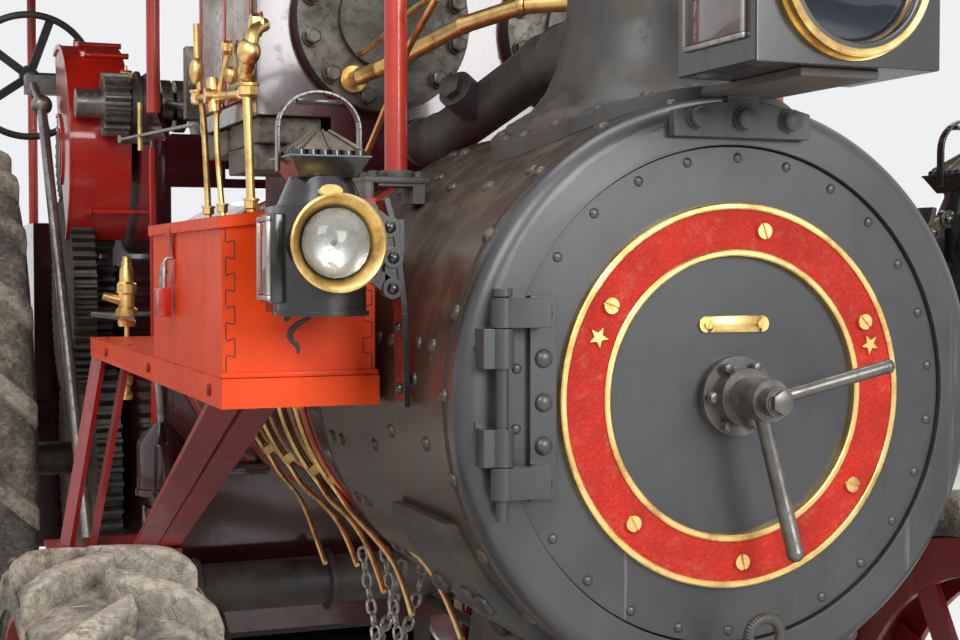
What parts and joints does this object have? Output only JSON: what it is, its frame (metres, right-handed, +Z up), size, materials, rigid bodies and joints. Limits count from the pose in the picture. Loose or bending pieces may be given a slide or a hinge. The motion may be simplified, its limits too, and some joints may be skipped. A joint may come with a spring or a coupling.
{
  "type": "steam traction engine",
  "caption": "Road steam traction engine with a horizontal boiler, chimney, motion and gears on top, lamps, toolbox, canopy, tender and rubber-tyred spoked wheels.",
  "frame": {"origin": "middle of the footprint on the ground", "axes": "+Z up, -Y towards the front, -X towards the engine's right hand"},
  "size_m": [2.388, 5.162, 3.36],
  "materials": {
    "blackened_steel": "worn black paint, oily",
    "sooty_steel": "sooty",
    "red_enamel": "gloss enamel",
    "maroon_paint": "polished paint",
    "grey_iron": "oily",
    "black_iron": "painted black",
    "brass": "polished",
    "bright_steel": "oiled",
    "maroon_iron": "painted",
    "red_iron": "painted, dusty",
    "tyre": "muddy rubber",
    "canopy_wood": "painted boards",
    "black_enamel": "gloss black",
    "orange_wood": "painted"
  },
  "bodies": {
    "engine": {"smokebox_shell": "blackened_steel", "smokebox_front": "blackened_steel", "tube_plate": "sooty_steel", "boiler_barrel": "maroon_paint", "boiler_bands": "red_enamel", "firebox": "maroon_paint", "backhead": "maroon_paint", "ashpan": "sooty_steel", "hornplates": "maroon_paint", "shaft_bearings": "grey_iron", "chimney_base": "black_iron", "chimney": "black_iron", "blast_pipe": "sooty_steel", "cylinder_block": "maroon_paint", "cylinder_covers": "grey_iron", "safety_valves": "brass", "exhaust_pipe": "black_iron", "blower_pipe": "brass", "slide_bars": "bright_steel", "crossheads": "bright_steel", "connecting_rods": "bright_steel", "crankshaft": "bright_steel", "valve_gear": "bright_steel", "second_shaft": "grey_iron", "third_shaft": "grey_iron", "rear_axle": "grey_iron", "gear_guard": "red_enamel", "governor": "grey_iron", "perch_bracket": "black_iron", "canopy": "canopy_wood", "canopy_posts": "red_enamel", "headlamp": "black_enamel", "headlamp_bracket": "black_iron", "side_lamps": "black_enamel", "footboards": "orange_wood", "toolbox": "orange_wood", "tender": "maroon_paint", "drawbar": "black_iron", "backhead_fittings": "brass", "steering_shaft": "bright_steel", "steering_chains": "black_iron", "oil_pipes": "brass"},
    "door": {"smokebox_door": "blackened_steel", "door_plates": "red_enamel", "door_dart": "blackened_steel"},
    "fire_door": {"firebox_door": "sooty_steel"},
    "box_lid": {"toolbox_lid": "orange_wood"},
    "flywheel": {"flywheel": "maroon_iron"},
    "front_axle": {"front_axle": "red_iron"},
    "front_wheel_right": {"front_wheel_right": "red_iron", "front_tyre_right": "tyre"},
    "front_wheel_left": {"front_wheel_left": "red_iron", "front_tyre_left": "tyre"},
    "rear_wheel_right": {"rear_wheel_right": "red_iron", "rear_tyre_right": "tyre"},
    "rear_wheel_left": {"rear_wheel_left": "red_iron", "rear_tyre_left": "tyre"},
    "hand_wheel": {"steering_wheel": "black_iron"},
    "barrel": {"chain_barrel": "black_iron"}
  },
  "joints": [
    {"name": "smokebox_door_hinge", "type": "hinge", "parent": "engine", "child": "door", "pos_m": [-0.375, -2.305, 1.5], "axis": [0, 0, -1], "range_deg": [0, 110]},
    {"name": "fire_door_hinge", "type": "hinge", "parent": "engine", "child": "fire_door", "pos_m": [-0.165, 0.789, 1.35], "axis": [0, 0, 1], "range_deg": [0, 120]},
    {"name": "toolbox_lid_hinge", "type": "hinge", "parent": "engine", "child": "box_lid", "pos_m": [-0.439, -1.877, 1.7833], "axis": [0, 1, 0], "range_deg": [0, 95]},
    {"name": "flywheel_spin", "type": "hinge", "parent": "engine", "child": "flywheel", "pos_m": [0.635, 0.46012, 2.17], "axis": [1, 0, 0], "continuous": true},
    {"name": "steer", "type": "hinge", "parent": "engine", "child": "front_axle", "pos_m": [0, -1.929, 0.7], "axis": [0, 0, 1], "range_deg": [-25, 25], "deforming": ["steering_chains"]},
    {"name": "front_wheel_right_spin", "type": "hinge", "parent": "front_axle", "child": "front_wheel_right", "pos_m": [-0.852, -1.929, 0.635], "axis": [1, 0, 0], "continuous": true},
    {"name": "front_wheel_left_spin", "type": "hinge", "parent": "front_axle", "child": "front_wheel_left", "pos_m": [0.852, -1.929, 0.635], "axis": [1, 0, 0], "continuous": true},
    {"name": "rear_wheel_right_spin", "type": "hinge", "parent": "engine", "child": "rear_wheel_right", "pos_m": [-0.95, 1.131, 1.04], "axis": [1, 0, 0], "continuous": true},
    {"name": "rear_wheel_left_spin", "type": "hinge", "parent": "engine", "child": "rear_wheel_left", "pos_m": [0.95, 1.131, 1.04], "axis": [1, 0, 0], "continuous": true},
    {"name": "hand_wheel_turn", "type": "hinge", "parent": "engine", "child": "hand_wheel", "pos_m": [-0.65, 1.311, 2.342], "axis": [0, 0.9455, 0.3256], "range_deg": [-1500, 1500]},
    {"name": "chain_barrel_turn", "type": "hinge", "parent": "engine", "child": "barrel", "pos_m": [0, -0.119, 0.82], "axis": [1, 0, 0], "range_deg": [-160, 160]}
  ],
  "couplings": [
    {"joint": "chain_barrel_turn", "follows": "steer", "ratio": 6.4},
    {"joint": "hand_wheel_turn", "follows": "steer", "ratio": 60}
  ]
}
